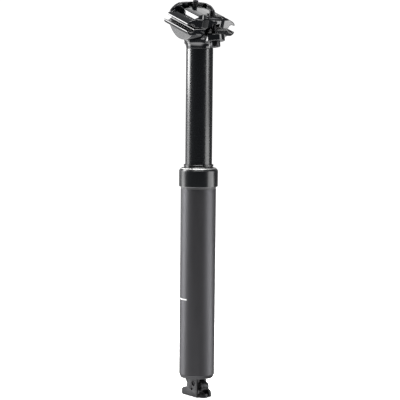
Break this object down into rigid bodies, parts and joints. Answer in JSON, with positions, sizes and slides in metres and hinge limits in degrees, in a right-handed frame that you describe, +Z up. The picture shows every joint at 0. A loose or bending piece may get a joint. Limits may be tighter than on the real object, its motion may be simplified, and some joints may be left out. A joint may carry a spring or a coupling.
{
  "type": "dropper seatpost",
  "caption": "Telescoping bicycle seatpost with a tilting saddle-rail clamp, a locking gas cartridge inside and a cable-pulled release lever at its foot.",
  "frame": {"origin": "on the post's axis at the collar's lower edge, where the frame's seat tube ends", "axes": "+Z up along the post, +X to the front of the bicycle, +Y to its left"},
  "size_m": [0.0546, 0.052, 0.3552],
  "materials": {
    "anodised_grey": "matte dark grey anodised",
    "gloss_black": "polished black anodised",
    "satin_black": "satin black anodised",
    "black_steel": "blackened steel",
    "bare_steel": "ground steel",
    "brass": "drawn brass",
    "bush_plastic": "moulded bearing plastic",
    "rubber": "matte black rubber"
  },
  "bodies": {
    "lower_post": {"lower_tube": "anodised_grey", "collar": "gloss_black", "wiper_seal": "rubber", "upper_bush": "bush_plastic", "base_plug": "satin_black", "base_circlip": "bare_steel", "cartridge_tube": "bare_steel", "cartridge_inner_tube": "bare_steel", "rod_gland": "satin_black", "rod_seal": "rubber", "valve_block": "satin_black", "actuator_yoke": "satin_black", "lever_pivot_pin": "bare_steel"},
    "upper_post": {"stanchion": "gloss_black", "foot_bush": "bush_plastic", "foot_ring": "bare_steel", "anti_rotation_keys": "brass", "top_out_bumper": "rubber", "piston_rod": "bare_steel", "rod_lock_nut": "bare_steel", "piston": "satin_black", "piston_seal": "rubber", "head": "gloss_black"},
    "saddle_clamp": {"lower_cradle": "gloss_black", "upper_clamp": "gloss_black"},
    "front_bolt_set": {"front_bolt": "black_steel", "front_washer": "black_steel"},
    "rear_bolt_set": {"rear_bolt": "black_steel", "rear_washer": "black_steel"},
    "front_nut": {"front_barrel_nut": "black_steel"},
    "rear_nut": {"rear_barrel_nut": "black_steel"},
    "release_lever": {"actuator_lever": "satin_black"},
    "release_valve": {"release_pin": "bare_steel"},
    "gas_piston": {"floating_piston": "satin_black", "floating_piston_seals": "rubber"}
  },
  "joints": [
    {"name": "post_travel", "type": "slide", "parent": "lower_post", "child": "upper_post", "axis": [0, 0, 1], "range_m": [-0.1, 0], "stiffness_N_per_m": 100, "springref_m": 0.4},
    {"name": "clamp_tilt", "type": "hinge", "parent": "upper_post", "child": "saddle_clamp", "pos_m": [0.002, 0, 0.152], "axis": [0, 1, 0], "range_deg": [-6, 6]},
    {"name": "front_bolt_swing", "type": "hinge", "parent": "upper_post", "child": "front_bolt_set", "pos_m": [0.023, 0, 0.1246], "axis": [0, 1, 0], "range_deg": [-2.5, 2.5]},
    {"name": "rear_bolt_swing", "type": "hinge", "parent": "upper_post", "child": "rear_bolt_set", "pos_m": [-0.016, 0, 0.127], "axis": [0, 1, 0], "range_deg": [-1, 1]},
    {"name": "front_nut_turn", "type": "hinge", "parent": "saddle_clamp", "child": "front_nut", "pos_m": [0.01895, 0, 0.14754], "axis": [0, 1, 0], "range_deg": [-10, 10]},
    {"name": "rear_nut_turn", "type": "hinge", "parent": "saddle_clamp", "child": "rear_nut", "pos_m": [-0.00863, 0, 0.1565], "axis": [0, 1, 0], "range_deg": [-8, 8]},
    {"name": "lever_pull", "type": "hinge", "parent": "lower_post", "child": "release_lever", "pos_m": [0.0036, 0, -0.1766], "axis": [0, 1, 0], "range_deg": [0, 22], "stiffness_Nm_per_rad": 0.005},
    {"name": "release_pin_lift", "type": "slide", "parent": "lower_post", "child": "release_valve", "axis": [0, 0, 1], "range_m": [0, 0.00119], "stiffness_N_per_m": 3000},
    {"name": "gas_piston_slide", "type": "slide", "parent": "lower_post", "child": "gas_piston", "axis": [0, 0, 1], "range_m": [0, 0.06]}
  ],
  "couplings": [
    {"joint": "front_bolt_swing", "follows": "clamp_tilt", "ratio": -0.3148},
    {"joint": "rear_bolt_swing", "follows": "clamp_tilt", "ratio": 0.05899},
    {"joint": "front_nut_turn", "follows": "clamp_tilt", "ratio": -1.3148},
    {"joint": "rear_nut_turn", "follows": "clamp_tilt", "ratio": -0.94101},
    {"joint": "lever_pull", "follows": "release_pin_lift", "rad_per_m": 294.12},
    {"joint": "gas_piston_slide", "follows": "post_travel", "ratio": -0.58}
  ]
}
